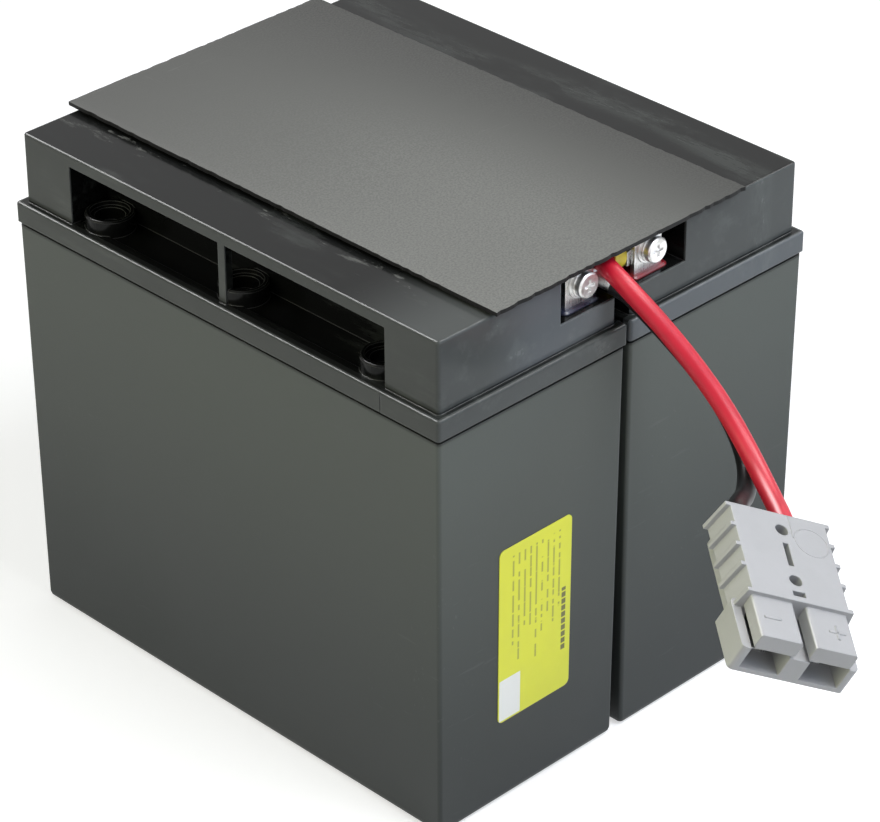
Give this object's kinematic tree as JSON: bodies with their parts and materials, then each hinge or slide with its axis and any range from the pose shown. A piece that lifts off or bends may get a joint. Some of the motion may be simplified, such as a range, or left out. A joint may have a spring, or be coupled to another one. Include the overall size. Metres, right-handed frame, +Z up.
{
  "type": "ups battery cartridge",
  "caption": "Two sealed lead-acid batteries side by side under one cover sheet, joined in series, with red and black leads to a two-pole power connector.",
  "frame": {"origin": "middle of the two batteries' footprint, on the surface they stand on", "axes": "+Z up; X across the two batteries, the left one at -X; -Y out of the front, where the leads leave; metres"},
  "size_m": [0.1536, 0.2982, 0.1695],
  "materials": {
    "case_plastic": "fine moulded grain, dark grey",
    "lid_plastic": "polished black with wipe marks",
    "strip_plastic": "polished black",
    "plate_lead": "grey pasted lead, sealed inside",
    "valve_rubber": "soft black",
    "adhesive_foam": "white closed-cell foam tape",
    "tinned_flag": "tin-plated flag, bright",
    "seal_dark": "blue-black sealing compound",
    "seal_red": "red sealing compound",
    "plated_steel": "zinc-plated",
    "tinned_lug": "tin-plated copper",
    "sleeve_yellow": "heat-shrunk sleeve",
    "sheet_grey": "fine matte film, grey",
    "label_yellow": "printed yellow, no lettering",
    "connector_grey": "moulded grey, fine grain",
    "contact_silver": "silver-plated copper",
    "spring_steel": "stainless leaf",
    "lead_red": "smooth PVC jacket, red",
    "lead_black": "smooth PVC jacket, black"
  },
  "bodies": {
    "root": {"left_case": "case_plastic", "left_lid": "lid_plastic", "left_vent_strip": "strip_plastic", "left_cell_pack_1": "plate_lead", "left_cell_pack_2": "plate_lead", "left_cell_pack_3": "plate_lead", "left_cell_pack_4": "plate_lead", "left_cell_pack_5": "plate_lead", "left_cell_pack_6": "plate_lead", "left_valve_cap_1": "valve_rubber", "left_valve_cap_2": "valve_rubber", "left_valve_cap_3": "valve_rubber", "left_valve_cap_4": "valve_rubber", "left_valve_cap_5": "valve_rubber", "left_valve_cap_6": "valve_rubber", "left_tape": "adhesive_foam", "left_front_terminal": "tinned_flag", "left_rear_terminal": "tinned_flag", "right_case": "case_plastic", "right_lid": "lid_plastic", "right_vent_strip": "strip_plastic", "right_cell_pack_1": "plate_lead", "right_cell_pack_2": "plate_lead", "right_cell_pack_3": "plate_lead", "right_cell_pack_4": "plate_lead", "right_cell_pack_5": "plate_lead", "right_cell_pack_6": "plate_lead", "right_valve_cap_1": "valve_rubber", "right_valve_cap_2": "valve_rubber", "right_valve_cap_3": "valve_rubber", "right_valve_cap_4": "valve_rubber", "right_valve_cap_5": "valve_rubber", "right_valve_cap_6": "valve_rubber", "right_tape": "adhesive_foam", "right_front_terminal": "tinned_flag", "right_rear_terminal": "tinned_flag", "left_front_seal": "seal_dark", "left_rear_seal": "seal_red", "right_front_seal": "seal_red", "right_rear_seal": "seal_dark", "terminal_bolts": "plated_steel", "spring_washers": "plated_steel", "flat_washers": "plated_steel", "terminal_nuts": "plated_steel", "black_lug": "tinned_lug", "red_lug": "tinned_lug", "yellow_sleeve": "sleeve_yellow", "link_bar": "tinned_lug", "cover_sheet": "sheet_grey", "centre_pad": "adhesive_foam", "front_label": "label_yellow", "connector_housing": "connector_grey", "red_contact": "contact_silver", "black_contact": "contact_silver", "red_contact_spring": "spring_steel", "black_contact_spring": "spring_steel", "red_lead": "lead_red", "black_lead": "lead_black"}
  },
  "joints": []
}
